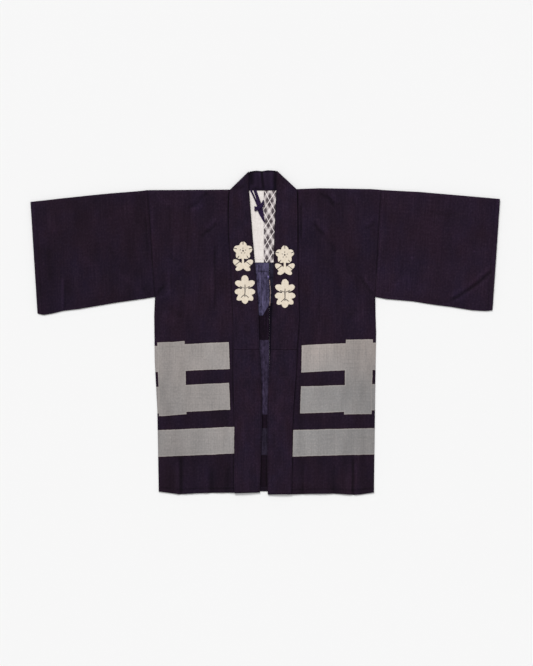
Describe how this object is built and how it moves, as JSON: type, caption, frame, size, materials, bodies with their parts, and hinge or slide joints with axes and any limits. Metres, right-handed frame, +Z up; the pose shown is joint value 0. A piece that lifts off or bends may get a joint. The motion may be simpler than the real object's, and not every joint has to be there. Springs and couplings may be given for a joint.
{
  "type": "happi coat",
  "caption": "Short indigo cotton happi coat with straight sleeves and a long band collar, laid flat, face up, with its fronts slightly open.",
  "frame": {"origin": "on the surface the coat lies on, under the middle of its outline", "axes": "+Z up from the surface, +Y towards the neck, +X towards the wearer's left sleeve"},
  "size_m": [1.28, 0.8849, 0.0073],
  "materials": {
    "indigo_cotton": "matte plain-weave cotton dyed dark indigo, with grey resist-dyed bars",
    "collar_cotton": "matte doubled cotton dyed dark indigo, with cream resist-dyed motifs",
    "plain_lining": "soft undyed cotton",
    "lattice_lining": "cotton with a white lattice over grey and black checks",
    "tie_tape": "matte cotton tape dyed indigo"
  },
  "bodies": {
    "root": {"body_right": "indigo_cotton", "body_left": "indigo_cotton", "sleeve_right": "indigo_cotton", "sleeve_left": "indigo_cotton", "collar_upper": "collar_cotton", "collar_lower_right": "collar_cotton", "collar_lower_left": "collar_cotton", "lining_plain": "plain_lining", "lining_lattice": "lattice_lining", "tie_long": "tie_tape", "tie_short": "tie_tape", "tie_knot": "tie_tape"}
  },
  "joints": []
}
